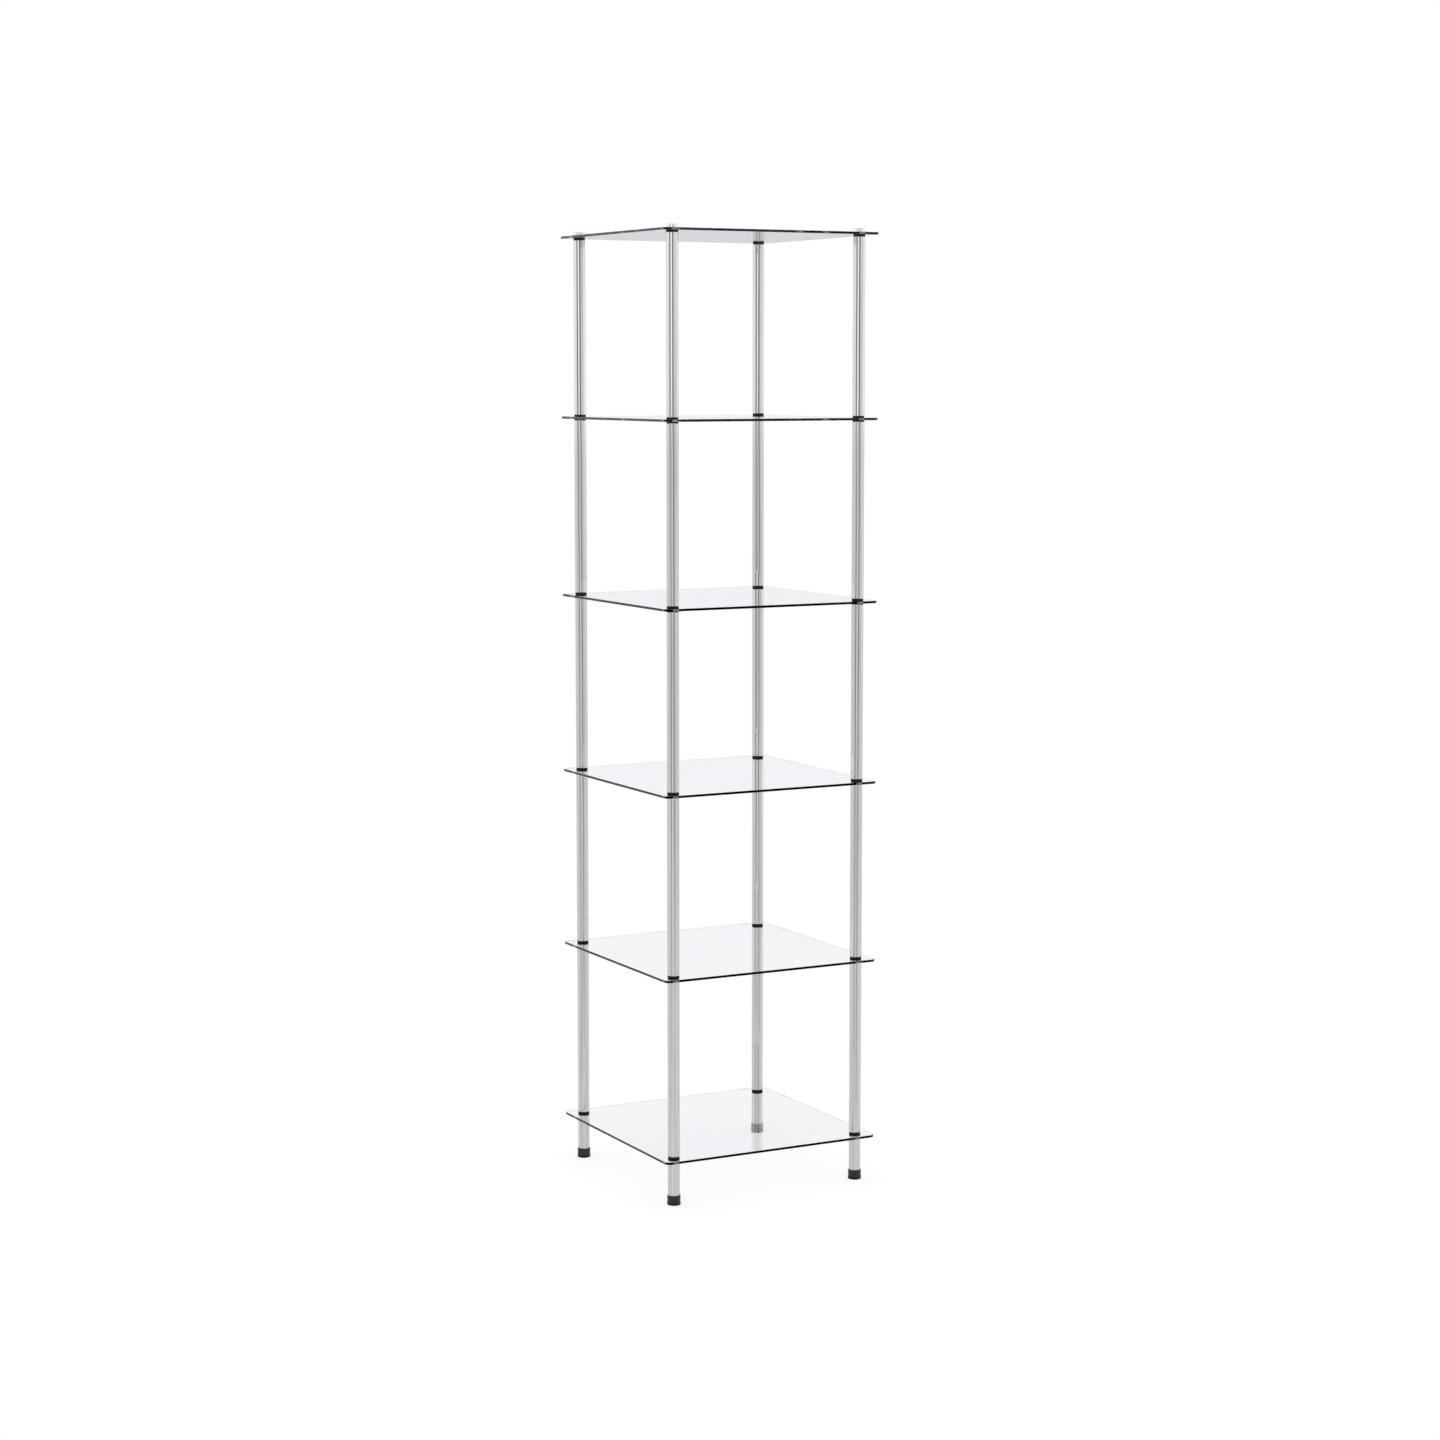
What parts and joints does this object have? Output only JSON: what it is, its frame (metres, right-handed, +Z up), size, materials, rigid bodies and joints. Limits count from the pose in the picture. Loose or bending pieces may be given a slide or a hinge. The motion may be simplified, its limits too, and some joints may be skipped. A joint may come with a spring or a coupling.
{
  "type": "glass etagere",
  "caption": "Tall open square shelving tower: clear glass shelves clamped by rubber washers between screwed chrome corner tubes on black feet.",
  "frame": {"origin": "on the floor, under the middle of the shelves", "axes": "+Z up along the posts; X along the front edge of the shelves, +Y towards the back"},
  "size_m": [0.4, 0.4, 1.612],
  "materials": {
    "glass": "clear float glass, polished edges",
    "chrome": "bright chrome plate on steel tube",
    "rubber": "matte black",
    "foot_plastic": "moulded black, satin",
    "plug_steel": "zinc-plated turned steel"
  },
  "bodies": {
    "root": {"foot_back_left": "foot_plastic", "foot_back_right": "foot_plastic", "foot_front_left": "foot_plastic", "foot_front_right": "foot_plastic", "leg_socket_plugs": "plug_steel", "leg_tube_back_left": "chrome", "leg_tube_back_right": "chrome", "leg_tube_front_left": "chrome", "leg_tube_front_right": "chrome", "post_socket_plugs": "plug_steel", "post_tube_1_back_left": "chrome", "post_tube_1_back_right": "chrome", "post_tube_1_front_left": "chrome", "post_tube_1_front_right": "chrome", "post_tube_2_back_left": "chrome", "post_tube_2_back_right": "chrome", "post_tube_2_front_left": "chrome", "post_tube_2_front_right": "chrome", "post_tube_3_back_left": "chrome", "post_tube_3_back_right": "chrome", "post_tube_3_front_left": "chrome", "post_tube_3_front_right": "chrome", "post_tube_4_back_left": "chrome", "post_tube_4_back_right": "chrome", "post_tube_4_front_left": "chrome", "post_tube_4_front_right": "chrome", "post_tube_5_back_left": "chrome", "post_tube_5_back_right": "chrome", "post_tube_5_front_left": "chrome", "post_tube_5_front_right": "chrome", "shelf_1": "glass", "shelf_2": "glass", "shelf_3": "glass", "shelf_4": "glass", "shelf_5": "glass", "shelf_6": "glass", "stud_plugs_tier_1": "plug_steel", "stud_plugs_tier_2": "plug_steel", "stud_plugs_tier_3": "plug_steel", "stud_plugs_tier_4": "plug_steel", "stud_plugs_tier_5": "plug_steel", "top_cap_back_left": "chrome", "top_cap_back_right": "chrome", "top_cap_front_left": "chrome", "top_cap_front_right": "chrome", "washers_above_shelf_1": "rubber", "washers_above_shelf_2": "rubber", "washers_above_shelf_3": "rubber", "washers_above_shelf_4": "rubber", "washers_above_shelf_5": "rubber", "washers_above_shelf_6": "rubber", "washers_below_shelf_1": "rubber", "washers_below_shelf_2": "rubber", "washers_below_shelf_3": "rubber", "washers_below_shelf_4": "rubber", "washers_below_shelf_5": "rubber", "washers_below_shelf_6": "rubber"}
  },
  "joints": []
}
